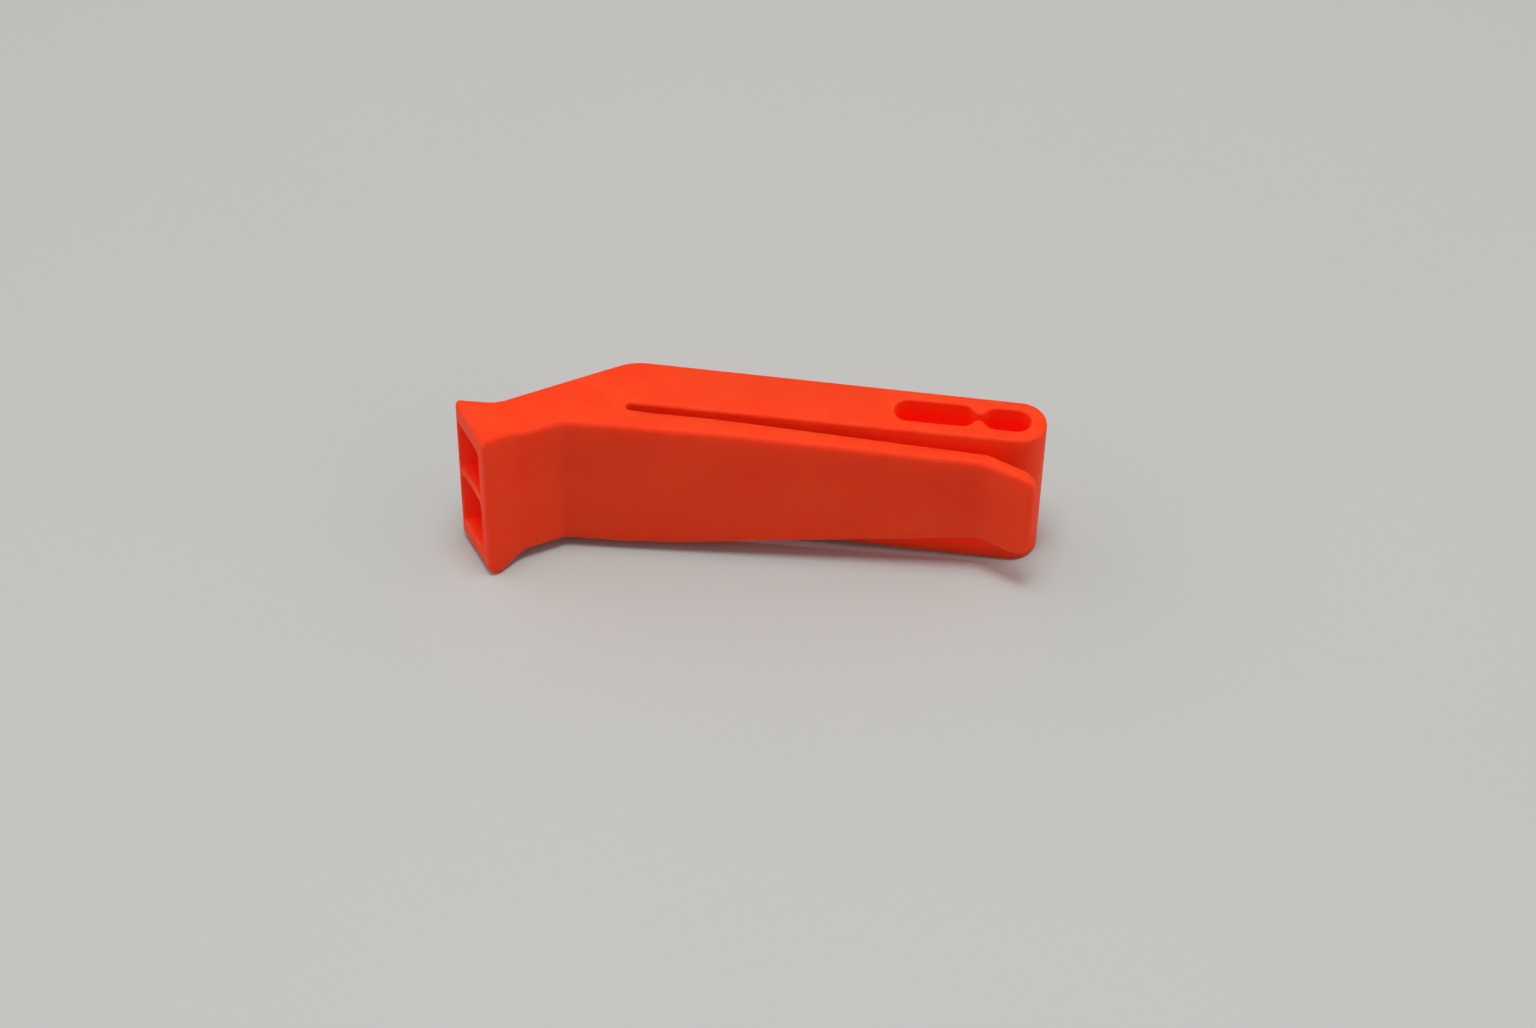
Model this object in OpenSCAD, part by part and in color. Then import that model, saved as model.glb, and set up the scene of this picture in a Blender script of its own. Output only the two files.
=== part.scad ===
// Flat pealess whistle with two ducts, two resonance chambers and a sprung belt clip.
// It stands on one narrow side, with the mouthpiece towards -X and the clip towards -Y.
// The plan is drawn in bar coordinates: x runs along the bar to the tail, y away from the
// clip, and the origin is the kink where the neck meets the clip on the outside.

/* [Bar] */
// Width across the two narrow sides of the body
body_w = 20.6; // [19:0.1:24]
// Thickness of the bar at the tail
bar_t = 6.95; // [6.4:0.05:9]
// How much thicker the bar is at the peak than at the tail
bar_rise = 0.5; // [0.2:0.05:1]
// Distance from the kink back to the front face of the bar
bar_set = 4.67; // [4.3:0.01:6]
// Distance along the bar from the kink to the end of the tail
tail_reach = 58.9; // [58.5:0.1:70]
// Distance along the bar from the kink to the peak
peak_x = 7.4; // [6.8:0.1:8]
// Radius of the peak's rounding
peak_r = 1.6; // [0.5:0.1:1.9]

/* [Mouthpiece and neck] */
// Angle between the neck and the bar, in degrees
neck_angle = 31; // [28:0.5:33]
// Length of the neck from the kink to the mouth face
neck_len = 11; // [10.5:0.1:16]
// Thickness of the neck
neck_t = 5.75; // [5.5:0.05:7]
// Radius of the outside of the kink, where the neck's front meets the clip
kink_r = 1.8; // [0.5:0.1:3]
// Radius of the soft bends along the back, and where the back and sides start to flare
bend_r = 6; // [1:0.5:8]
// How far the lip stands out at the front of the mouthpiece
lip_front = 1.13; // [0.6:0.01:2]
// How far the lip stands out at the back of the mouthpiece
lip_back = 1.46; // [0.6:0.01:2]
// How far the lip stands out at each narrow side
lip_side = 1.4; // [0.6:0.01:2]
// Length of the straight part of the front lip behind the mouth face
lip_len = 0.6; // [0.6:0.1:2]
// Length of the curve between the lip and the neck's front
lip_run = 3; // [2:0.1:4]
// Distance from the mouth face to where the narrow sides start to flare
side_run = 5.4; // [4:0.1:8]
// Distance from the mouth face to where the back starts to flare
back_run = 5; // [4:0.1:8]
// Radius of the rounded edge of the lip
lip_r = 0.4; // [0.2:0.05:0.5]

/* [Ducts] */
// Width of each duct
duct_w = 7.8; // [7:0.1:8.5]
// Thickness of the divider between the ducts and between the chambers
divider_t = 1.4; // [1:0.1:2]
// Height of each duct at the mouth face
duct_mouth_h = 5.7; // [5:0.1:6]
// Thickness of the front lip at the mouth face
duct_front_wall = 1.9; // [1.5:0.1:2.5]
// Height of each windway slit where it opens into the window
windway_h = 1.1; // [0.8:0.1:1.5]
// Wall between the windway slit and the back of the neck
windway_wall = 2.4; // [1.8:0.1:2.8]
// Distance from the mouth face to where the roof of the duct turns along the neck
duct_turn = 8; // [6:0.1:9]
// How far the front edge of the divider is set back from the mouth face
divider_set = 0.4; // [0.2:0.1:1]
// How far from the front and back lips the divider starts to be set back
divider_foot = 0.5; // [0.3:0.1:1]

/* [Windows and chambers] */
// Distance along the bar from the peak to the sound windows
window_set = 1; // [0.8:0.1:1.5]
// Length of each sound window along the bar
window_len = 4.2; // [4.1:0.1:5]
// Thickness of the walls round the chambers
wall_t = 1.3; // [1:0.1:1.4]
// Length of the upper chamber from the start of its window
long_chamber = 29; // [24:0.5:29.5]
// Length of the lower chamber from the start of its window
short_chamber = 24.4; // [20:0.2:26]
// Thickness of the end wall of the shorter chamber
end_wall = 1.2; // [1:0.1:1.5]

/* [Back cover] */
// Thickness of the cover plate
cover_t = 1.3; // [1:0.1:1.6]
// Width of the ledge that the cover is welded to
ledge_w = 0.6; // [0.4:0.05:0.8]
// Gap between the edges of the cover and its seat
cover_gap = 0.05; // [0.02:0.01:0.1]
// Thickness of the cover's lip at the edge that splits the air
labium_edge = 0.35; // [0.2:0.05:0.6]
// Length of the ramp down to that edge
labium_len = 4; // [3:0.1:6]

/* [Lanyard slots] */
// Width of both slots
slot_w = 3.65; // [3.4:0.05:3.8]
// Length of the long slot
long_slot = 10.65; // [8:0.05:11]
// Length of the short slot
short_slot = 6.4; // [5:0.05:6.6]
// Distance from the end of the tail to the short slot
slot_end_wall = 2.05; // [1.6:0.05:3]
// How far the two slots run into each other
slot_overlap = 0.25; // [0.2:0.01:0.5]
// How far the slots lie behind the middle of the bar
slot_shift = 0.12; // [0:0.01:0.3]

/* [Belt clip] */
// Angle between the clip's outer face and the bar, in degrees
clip_angle = 2.6; // [2:0.1:3]
// Thickness of the clip at its root
clip_root_t = 3.14; // [2.6:0.02:3.2]
// Thickness of the clip at the crease
clip_crease_t = 1.9; // [1.5:0.05:2.1]
// Distance along the bar from the kink to the crease
crease_x = 51.7; // [46:0.1:54]
// Length of the turned-out tip beyond the crease
tip_len = 7.05; // [4:0.05:7.5]
// Radius of the hollow of the crease
crease_r = 2.5; // [0.5:0.1:4]
// Angle of the turned-out tip to the bar, in degrees
tip_angle = 25; // [15:1:30]
// Thickness of the clip at the end of its tip
tip_t = 1.7; // [1.2:0.05:1.8]
// How far each side of the clip lies inside the side of the body
clip_inset = 0.2; // [0.1:0.05:0.4]
// Distance from the kink to where the lower edge starts to taper
lower_taper_x = 12.4; // [11:0.1:18]
// Height that the lower edge has risen by at the crease
lower_taper = 5.1; // [3:0.05:6]
// Distance from the kink to where the upper edge starts to taper
upper_taper_x = 18; // [16:0.5:30]
// Height that the upper edge has dropped by at the crease
upper_taper = 1.9; // [0:0.05:4]
// Radius of the corners at the end of the tip
tip_corner_r = 1.1; // [0.5:0.1:2]

/* [Clip root] */
// Distance along the bar from the kink to the middle of the clip's root
root_x = 8.9; // [8.8:0.1:9.5]
// Width of the gap between the bar and the clip at the closed end
gap_w = 1.14; // [0.9:0.01:1.2]
// How far the rounded closed end of the gap lies before the clip's root
gap_back = 1.0; // [0.9:0.05:1.2]
// How far the shoulders of the root stand out past its round
shoulder = 0.1; // [0.05:0.01:0.2]
// Gap between the round of the root and its seat
root_gap = 0.05; // [0.03:0.01:0.1]
// Angle that the seat wraps round the root each way, in degrees
seat_wrap = 62; // [50:1:70]

/* [Hidden] */
plastic = "orangered";
// How far a cutting shape runs past the face that it cuts
over = 1;
// Number of straight steps in a quarter of a rounded outline
arc_steps = 8;
full_circle = 360;
quarter = 90;

mouth_w = body_w + 2 * lip_side;
tail_r = bar_t / 2;
tail_x = tail_reach - tail_r;
bar_mid = bar_set + tail_r;
peak = [peak_x, bar_set + bar_t + bar_rise];
back_slope = bar_rise / (tail_x - peak_x);
lip_start = lip_len - neck_len;
// Where the neck's back turns up towards the peak, along the neck
back_bend = peak_x * cos(neck_angle) + neck_t * sin(neck_angle) / 3;
// Corners of the mouthpiece's back in plan, given along and across the neck
lip_back_corner = [-neck_len, neck_t + lip_back];
back_flare = [back_run - neck_len, neck_t];
// Corners of its upper side, given along the neck and up across the width
lip_side_corner = [-neck_len, mouth_w / 2];
side_flare = [side_run - neck_len, body_w / 2];

window_x = peak_x + window_set;
labium_x = window_x + window_len;
chamber_out = divider_t / 2 + duct_w + ledge_w / 2;
cover_end = window_x + long_chamber + ledge_w;
cover_out = chamber_out + ledge_w;
front_wall_y = bar_set + wall_t;

slot_r = slot_w / 2;
slot_y = bar_mid + slot_shift;
short_end = tail_reach - slot_end_wall;
short_start = short_end - short_slot;
long_end = short_start + slot_overlap;
long_start = long_end - long_slot;

gap_r = gap_w / 2;
gap_x = root_x - gap_back;
clip_half = body_w / 2 - clip_inset;
round_r = clip_root_t / 2 - shoulder;
// Middle of the root's round, half a root thickness behind the outer face
root = [root_x, clip_front(root_x) + clip_root_t / 2 / cos(clip_angle)];
seat_x = root.x - (round_r + root_gap) * cos(seat_wrap);
crease = [crease_x, clip_front(crease_x)];
tip_dir = [cos(tip_angle), -sin(tip_angle)];
tip_out = [sin(tip_angle), cos(tip_angle)];
half_turn = (tip_angle + clip_angle) / 2;
tip_end = crease + tip_dir * tip_len;
crease_back = crease + clip_crease_t * [sin(half_turn - clip_angle), cos(half_turn - clip_angle)];

// Lowest corner of the box round the plan, and its highest
plan_low = [to_bar(nest([-neck_len, 0], lip_back_corner, back_flare, lip_r)).x - lip_r,
            to_bar([lip_r - neck_len, lip_r - lip_front]).y - lip_r];
plan_high = [tail_reach,
             nest(to_bar([back_bend, neck_t]), peak, [tail_x, bar_back(tail_x)], peak_r).y + peak_r];
// Height of the middle of the width over the lowest point of the lip
stand_h = max([for (p = corner([-neck_len, 0], lip_side_corner, side_flare, lip_r)) p.y]);

// Outer face of the clip, and the back face of the bar, at a place along the bar
function clip_front(x) = x * tan(clip_angle);
function bar_back(x) = peak.y - (x - peak_x) * back_slope;
// A point given along and across the neck, in bar coordinates
function to_bar(p) = [p.x * cos(neck_angle) - p.y * sin(neck_angle),
                      p.x * sin(neck_angle) + p.y * cos(neck_angle)];
// Points on an arc from one angle to another
function arc(c, r, from, to, steps) =
    [for (i = [0 : steps]) c + r * [cos(from + (to - from) * i / steps),
                                    sin(from + (to - from) * i / steps)]];
// A way with the length of one
function unit(v) = v / norm(v);
// Middle of the circle that touches both sides of the corner at b, between a and c
function nest(a, b, c, r) =
    let (u = unit(a - b), v = unit(c - b)) b + unit(u + v) * r / sin(acos(u * v) / 2);
// The corner at b drawn as an arc, or left as a point where its radius is zero
function corner(a, b, c, r) = r == 0 ? [b] :
    let (u = unit(a - b), v = unit(c - b), half = acos(u * v) / 2,
         middle = nest(a, b, c, r), first = b + u * r / tan(half) - middle,
         from = atan2(first.y, first.x), turn = 2 * (quarter - half))
    arc(middle, r, from, from + (cross(u, v) < 0 ? turn : -turn), ceil(arc_steps * turn / quarter) + 1);
// Closed outline from corners given as x, y and radius
function rounded(p) = [for (i = [0 : len(p) - 1])
    each corner(flat(p[(i + len(p) - 1) % len(p)]), flat(p[i]), flat(p[(i + 1) % len(p)]), p[i].z)];
// The place of a corner without its radius
function flat(p) = [p.x, p.y];
// Points as corners with no radius, and one point as a corner with a radius
function sharp(points) = [for (p = points) [p.x, p.y, 0]];
function soft(p, r) = [p.x, p.y, r];
// Share of a smooth step that is done at a share of its length
function smooth_share(t) = t * t * (3 - 2 * t);

// Moves what is drawn in bar coordinates to the middle of its box, standing on its lip
module place() {
    translate([-(plan_low.x + plan_high.x) / 2, -(plan_low.y + plan_high.y) / 2, stand_h])
        children();
}

// A plan outline made solid between two heights
module rise(low, high) {
    translate([0, 0, low]) linear_extrude(height = high - low) children();
}

// Corners of the mouthpiece in plan, from the front of the neck round the mouth to the back
function mouth_corners() = concat(
    sharp([for (i = [0 : arc_steps])
        to_bar([lip_start + lip_run * (1 - i / arc_steps), -lip_front * smooth_share(i / arc_steps)])]),
    [soft(to_bar([-neck_len, -lip_front]), lip_r),
     soft(to_bar(lip_back_corner), lip_r),
     soft(to_bar(back_flare), bend_r),
     soft(to_bar([back_bend, neck_t]), bend_r)]);

// Outline of the whole body, with the closed end of the clip's gap
module body_plan() {
    polygon(rounded(concat(
        mouth_corners(),
        [soft(peak, peak_r)],
        sharp(arc([tail_x, bar_mid], tail_r, quarter, -quarter, 2 * arc_steps)),
        sharp(arc([gap_x, bar_set - gap_r], gap_r, quarter, 3 * quarter, 2 * arc_steps)),
        sharp([[seat_x, bar_set - gap_w], [seat_x, clip_front(seat_x)]]),
        [[0, 0, kink_r]])));
}

// Outline of the body seen square to the neck: the lip flares past both narrow sides
module side_outline() {
    reach = [tail_reach + bar_t, body_w / 2];
    polygon(rounded([
        soft(lip_side_corner, lip_r), soft(side_flare, bend_r), soft(reach, 0),
        [reach.x, -reach.y, 0], [side_flare.x, -side_flare.y, bend_r],
        [lip_side_corner.x, -lip_side_corner.y, lip_r]]));
}

module body_outer() {
    intersection() {
        rise(-mouth_w / 2, mouth_w / 2) body_plan();
        rotate([0, 0, neck_angle])
            rotate([quarter, 0, 0])
                translate([0, 0, -tail_reach])
                    linear_extrude(height = 2 * tail_reach) side_outline();
    }
}

// One duct in plan: wide at the mouth and a thin slit at the window
module duct_plan() {
    floor_mouth = duct_front_wall - lip_front;
    roof_mouth = floor_mouth + duct_mouth_h;
    roof = neck_t - windway_wall;
    // The window's edge crosses the slit at these distances along the neck
    roof_end = (window_x + over + roof * sin(neck_angle)) / cos(neck_angle);
    floor_end = (window_x + over + (roof - windway_h) * sin(neck_angle)) / cos(neck_angle);
    polygon([for (p = [
        [-neck_len - over, floor_mouth],
        [-neck_len, floor_mouth],
        [floor_end, roof - windway_h],
        [roof_end, roof],
        [duct_turn - neck_len, roof],
        [-neck_len, roof_mouth],
        [-neck_len - over, roof_mouth]]) to_bar(p)]);
}

// Shallow recess in the mouth face that sets the divider back
module divider_recess() {
    low = duct_front_wall - lip_front + divider_foot;
    half = divider_t / 2 + over;
    rotate([0, 0, neck_angle])
        translate([-neck_len - over, low, -half])
            cube([over + divider_set, duct_mouth_h - 2 * divider_foot, 2 * half]);
}

// A chamber pocket, open to the back, from one place along the bar to another
module pocket_plan(from, to) {
    polygon([[from, front_wall_y], [to, front_wall_y], [to, peak.y + over], [from, peak.y + over]]);
}

// Seat of the cover in the back face
module cover_seat_plan() {
    polygon([[labium_x, bar_back(labium_x) - cover_t], [cover_end, bar_back(cover_end) - cover_t],
             [cover_end, peak.y + over], [labium_x, peak.y + over]]);
}

// A slot with round ends, from one place along the bar to another
module slot_plan(from, to) {
    polygon(concat(arc([from + slot_r, slot_y], slot_r, quarter, 3 * quarter, 2 * arc_steps),
                   arc([to - slot_r, slot_y], slot_r, -quarter, quarter, 2 * arc_steps)));
}

module body() {
    inner = divider_t / 2;
    short_wall = window_x + short_chamber;
    color(plastic) place() difference() {
        difference() {
            body_outer();
            divider_recess();
        }
        for (side = [-1, 1])
            rise(min(side * inner, side * (inner + duct_w)), max(side * inner, side * (inner + duct_w)))
                duct_plan();
        rise(inner, chamber_out) pocket_plan(window_x, window_x + long_chamber);
        rise(-chamber_out, -inner) {
            pocket_plan(window_x, short_wall);
            pocket_plan(short_wall + end_wall, window_x + long_chamber);
        }
        rise(-cover_out, cover_out) cover_seat_plan();
        rise(-body_w, body_w) slot_plan(long_start, long_end);
        rise(-body_w, body_w) slot_plan(short_start, short_end);
        translate([root.x, root.y, -body_w])
            cylinder(h = 2 * body_w, r = round_r + root_gap, $fn = full_circle / 4);
    }
}

// The welded plate that closes both chambers, with a lip behind each window
module back_cover() {
    low = cover_out - cover_gap;
    start = labium_x + cover_gap;
    end = cover_end - cover_gap;
    color(plastic) place() difference() {
        rise(-low, low)
            polygon([[start, bar_back(start) - cover_t], [end, bar_back(end) - cover_t],
                     [end, bar_back(end)], [start, bar_back(start)]]);
        for (side = [-1, 1])
            rise(min(side * divider_t / 2, side * chamber_out), max(side * divider_t / 2, side * chamber_out))
                polygon([[start - over, bar_back(start) - cover_t + labium_edge],
                         [start, bar_back(start) - cover_t + labium_edge],
                         [start + labium_len, bar_back(start + labium_len)],
                         [start + labium_len, peak.y + over],
                         [start - over, peak.y + over]]);
    }
}

// Outline of the clip seen from the side, with the turned-out tip
module clip_plan() {
    end_r = tip_t / 2;
    end_mid = tip_end + tip_out * end_r - tip_dir * end_r;
    polygon(rounded(concat(
        [[root_x, clip_front(root_x), 0], soft(crease, crease_r)],
        sharp(arc(end_mid, end_r, -tip_angle - quarter, quarter - tip_angle, 2 * arc_steps)),
        [soft(crease_back, crease_r + clip_crease_t),
         [root_x, clip_front(root_x) + clip_root_t / cos(clip_angle), 0]])));
}

// Outline of the clip seen from the front: both edges draw in towards the tip
module clip_face() {
    r = tip_corner_r;
    // Both edges run straight on from where their taper starts to the corners of the tip
    low_share = (tip_end.x - r - lower_taper_x) / (crease_x - lower_taper_x);
    high_share = (tip_end.x - r - upper_taper_x) / (crease_x - upper_taper_x);
    low = lower_taper * low_share - clip_half;
    high = clip_half - upper_taper * high_share;
    polygon(concat(
        [[root_x - over, -clip_half], [lower_taper_x, -clip_half]],
        arc([tip_end.x - r, low + r], r, -quarter, 0, arc_steps),
        arc([tip_end.x - r, high - r], r, 0, quarter, arc_steps),
        [[upper_taper_x, clip_half], [root_x - over, clip_half]]));
}

module belt_clip() {
    color(plastic) place() union() {
        intersection() {
            rise(-clip_half, clip_half) clip_plan();
            rotate([quarter, 0, 0])
                translate([0, 0, -peak.y])
                    linear_extrude(height = peak.y + tail_reach) clip_face();
        }
        translate([root.x, root.y, -clip_half])
            cylinder(h = 2 * clip_half, r = round_r, $fn = full_circle / 4);
    }
}

body();
back_cover();
belt_clip();
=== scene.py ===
from math import acos, atan2, ceil, cos, degrees, pi, radians, sin, sqrt, tan
import bmesh
import bpy
import numpy as np
from mathutils import Matrix, Vector
from mathutils.geometry import delaunay_2d_cdt


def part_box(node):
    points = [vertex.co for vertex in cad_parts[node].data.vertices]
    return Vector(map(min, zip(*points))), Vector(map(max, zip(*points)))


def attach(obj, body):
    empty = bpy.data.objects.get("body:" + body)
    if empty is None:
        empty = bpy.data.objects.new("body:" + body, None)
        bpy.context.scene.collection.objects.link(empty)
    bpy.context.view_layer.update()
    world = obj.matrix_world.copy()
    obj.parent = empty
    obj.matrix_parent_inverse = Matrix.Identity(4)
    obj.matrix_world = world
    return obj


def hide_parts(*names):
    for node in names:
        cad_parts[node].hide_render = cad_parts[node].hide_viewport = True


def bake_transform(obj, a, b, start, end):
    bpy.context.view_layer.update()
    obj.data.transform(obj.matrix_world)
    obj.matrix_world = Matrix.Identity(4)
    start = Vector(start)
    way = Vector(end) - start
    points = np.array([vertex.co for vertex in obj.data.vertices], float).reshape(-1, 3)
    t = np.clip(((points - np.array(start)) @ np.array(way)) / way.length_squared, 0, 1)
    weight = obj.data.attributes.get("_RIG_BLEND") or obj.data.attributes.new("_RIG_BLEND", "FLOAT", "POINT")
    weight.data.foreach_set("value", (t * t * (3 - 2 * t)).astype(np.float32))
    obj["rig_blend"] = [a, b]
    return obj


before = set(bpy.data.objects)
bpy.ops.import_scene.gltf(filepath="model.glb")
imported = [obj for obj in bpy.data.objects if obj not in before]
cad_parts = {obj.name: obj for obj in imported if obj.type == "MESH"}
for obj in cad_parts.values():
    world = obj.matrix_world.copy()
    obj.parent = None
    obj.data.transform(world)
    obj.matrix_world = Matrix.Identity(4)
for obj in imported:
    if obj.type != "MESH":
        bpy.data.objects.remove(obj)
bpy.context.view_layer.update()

print("frame loaded:", sorted(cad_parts))

# Sizes are in mm. Plans are drawn in bar coordinates: x along the bar to the tail, y away from the
# clip, z up across the width from its middle, and the origin where the neck meets the clip outside.
# Along the neck, a runs towards the bar and b across it from the front, from the same origin.
mm = 0.001

body = {
    "halfWidth": 10.3,
    "barFront": 4.67,           # front face of the bar, behind the kink
    "barThickness": 6.95,       # at the tail
    "barRise": 0.5,             # how much thicker the bar is at the peak
    "tailReach": 58.9,
    "peakX": 7.4,
    "neckAngle": radians(31),
    "neckLength": 11.0,
    "neckThickness": 6.58,
    "neckTaper": 0.025,         # growth of that thickness per mm towards the bar
    "tailRise": 0.15,           # how much taller the tail is than the bar's root, above
    "tailDrop": 0.42,           # and below
    "peakRound": 6.5,
    "peakShift": 0.45,          # how far the thicker neck moves the peak towards the mouth
    "kinkRound": 1.8,
    "backEdge": 0.42,           # rounding where the narrow sides meet the wide back
    "backStrip": 2.0,           # edges nearer to the wide back than this are its own
    "frontEdge": 0.5,           # rounding at the front, measured across the narrow side
    "frontDrop": 0.75,          # and down the front
    "gapEdge": 0.42,            # along the gap behind the clip
    "neckChange": (1.5, 4.5),   # across the neck, where the front's rounding gives way to the back's
    "clipChange": (0.8, 1.4),   # the same across the clip
}
lip = {
    "front": 1.2,               # how far the mouth flares to the front
    "frontStart": -5.6,         # along the neck
    "frontEnd": -10.2,
    "frontRound": 0.65,
    "backSlope": 0.29,          # the back flares in a straight line
    "backStart": -6.75,
    "backRound": 0.5,
    "side": 1.62,               # how far it flares to each narrow side
    "sideStart": -4.2,          # on the front, where both sides swing out in a soft curve
    "sideEnd": -9.6,
    "rampSlope": 0.2556,        # on the back, where they run out straight
    "rampStart": -5.6,
    "endRound": 1.3,            # corners of the mouth, seen from the front
    "backEndRound": 0.8,        # the same, seen from the back
    "roundShare": 0.9,          # how much of their quarter circle is followed
    "lean": 0.06,               # how far the mouth face leans back, per mm across the neck
    "ease": 0.6,
}
clip = {
    "angle": radians(2.6),
    "rootThickness": 3.14,
    "creaseThickness": 1.9,
    "creaseX": 51.7,
    "creaseRound": 5.0,
    "rootX": 8.9,
    "rootMiddle": 2.0,          # halfway through the root, from the clip's front
    "bendLength": 5.0,          # how far past the gap's end the root goes on bending
    "tipLength": 6.85,
    "tipAngle": radians(23.5),
    "tipThickness": 1.7,
    "tipFlat": 0.02,            # half of the flat between the tip's two roundings
    "tipOver": 0.4,             # how far the tip's back reaches past its front
    "tipFlare": 0.05,           # how much each edge spreads per mm beyond the crease
    "flareEase": 1.0,
    "upperCorner": 1.9,
    "lowerCorner": 3.0,
    "inset": 0.2,
    "insetReach": 3.0,
    "lowerTaperX": 12.4,
    "lowerTaper": 5.1,          # how far the lower edge has risen at the crease
    "upperTaperX": 18.0,
    "upperTaper": 1.9,
    "taperEase": 2.0,
}
gap = {
    "x": 7.9,
    "radius": 0.57,
    "innerShare": 0.6,          # share of painted bounce light and glow on the two faces that look into it
    "fadeOut": 4.0,             # how far that red fades beyond the clip's crease
    "behindClip": (0.9, 1.5),   # where it sets in, from the clip's front
    "beforeBar": (1.2, 0.4),    # and from the bar's front
}
slots = {
    "radius": 1.825,
    "y": 8.265,
    "longEnds": (41.875, 48.295),
    "shortEnds": (52.855, 55.15),
    "cuspRound": 0.8,
    "edge": 0.3,
    "wallShare": 1.0,           # share of painted bounce light and glow on their walls
}

slope = body["barRise"] / (body["tailReach"] - body["barThickness"] / 2 - body["peakX"])
peakY = body["barFront"] + body["barThickness"] + body["barRise"]
bodyLow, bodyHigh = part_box("body")
kink = Vector((bodyHigh.x / mm - body["tailReach"], bodyHigh.y / mm - peakY,
               (bodyLow.z + bodyHigh.z) / 2 / mm))    # the bar's origin in the frame


def backY(x):
    return peakY - (x - body["peakX"]) * slope


def clipFront(x):
    return x * tan(clip["angle"])


def neckPoint(a, b):
    c, s = cos(body["neckAngle"]), sin(body["neckAngle"])
    return Vector((a * c - b * s, a * s + b * c))


def alongNeck(x, y):
    return x * cos(body["neckAngle"]) + y * sin(body["neckAngle"])


def acrossNeck(x, y):
    return y * cos(body["neckAngle"]) - x * sin(body["neckAngle"])


def neckBack(a):
    return body["neckThickness"] + body["neckTaper"] * a


def mouthEnd(b):
    return -body["neckLength"] + lip["lean"] * (body["neckThickness"] / 2 - b)


def smooth(low, high, value):
    t = min(max((value - low) / (high - low), 0.0), 1.0)
    return t * t * (3 - 2 * t)


def easedRamp(distance, ease):
    return (distance + sqrt(distance * distance + ease * ease)) / 2


# Plan outlines

plan = {
    "step": 0.6,                # between the points of an outline
    "mouthStep": 0.2,           # and near the mouth
    "mouthZone": -9.5,          # which starts here along the neck
    "arcStep": 7.0,             # degrees between the points of an arc
    "tailArcStep": 4.0,
    "cuspArcStep": 12.0,
    "cornerStep": 6.0,          # and of a rounded corner
    "lipStep": 0.25,            # between the points of the lip's two curves
    "frontLipStart": -9.85,
    "frontLipCount": 20,
    "backLipStart": -5.0,
    "backLipCount": 22,
    "neckBackAt": (4, 2, 0, -2, -3, -4, -4.6),
    "sameSpot": 1e-6,           # points closer than this are one
}


def arcPoints(x, y, radius, start, end, step=plan["arcStep"]):
    count = max(2, ceil(abs(end - start) / step))
    angles = [radians(start + (end - start) * i / count) for i in range(count + 1)]
    return [(x + radius * cos(t), y + radius * sin(t), 0) for t in angles]


def roundCorners(corners):
    # corners are (x, y, rounding radius), in order round a closed outline
    out = []
    for i, (x, y, radius) in enumerate(corners):
        here = Vector((x, y))
        if radius == 0:
            out.append(here)
            continue
        before = (Vector(corners[i - 1][:2]) - here).normalized()
        after = (Vector(corners[(i + 1) % len(corners)][:2]) - here).normalized()
        half = acos(max(-1, min(1, before.dot(after)))) / 2
        centre = here + (before + after).normalized() * radius / sin(half)
        first = here + before * radius / tan(half) - centre
        sweep = pi - 2 * half
        turn = 1 if before.cross(after) < 0 else -1
        count = max(3, ceil(degrees(sweep) / plan["cornerStep"]))
        for k in range(count + 1):
            angle = atan2(first.y, first.x) + turn * sweep * k / count
            out.append(centre + radius * Vector((cos(angle), sin(angle))))
    return out


def fillIn(outline, stepAt):
    out = []
    for i, here in enumerate(outline):
        after = outline[(i + 1) % len(outline)]
        count = max(1, ceil((after - here).length / stepAt(here)))
        if (after - here).length > plan["sameSpot"]:
            out += [here.lerp(after, k / count) for k in range(count)]
    return out


def evenStep(p):
    return plan["step"]


def mouthpieceStep(p):
    return plan["mouthStep"] if alongNeck(*p) < plan["mouthZone"] else plan["step"]


def lipFront(a):
    return -lip["front"] * smooth(0, lip["frontStart"] - lip["frontEnd"], lip["frontStart"] - a)


def lipBack(a):
    return neckBack(a) + lip["backSlope"] * easedRamp(lip["backStart"] - a, lip["ease"])


# The seam between the scene's two mouldings runs from the closed end of the gap to the neck's back

seam = {
    "at": 5.5,                  # where it meets the neck's back, along the neck
    "slack": 1e-4,
    "clear": (0.3, 2.5),        # distances from it over which light comes to spread freely
}
seamEnd = neckPoint(seam["at"], neckBack(seam["at"]))
gapCentre = Vector((gap["x"], body["barFront"] - gap["radius"]))
seamWay = (seamEnd - gapCentre).normalized()
seamAngle = degrees(atan2(seamWay.y, seamWay.x))


def onSeam(p):
    away = p - gapCentre
    return abs(away.cross(seamWay)) < seam["slack"] and away.dot(seamWay) > gap["radius"] / 2


def clearOfSeam(x, y):
    # 0 at the seam, 1 where light spreads freely inside the plastic
    p = Vector((x, y)) - gapCentre
    along = min(max(p.dot(seamWay), 0), (seamEnd - gapCentre).length)
    return smooth(*seam["clear"], (p - seamWay * along).length)


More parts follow.
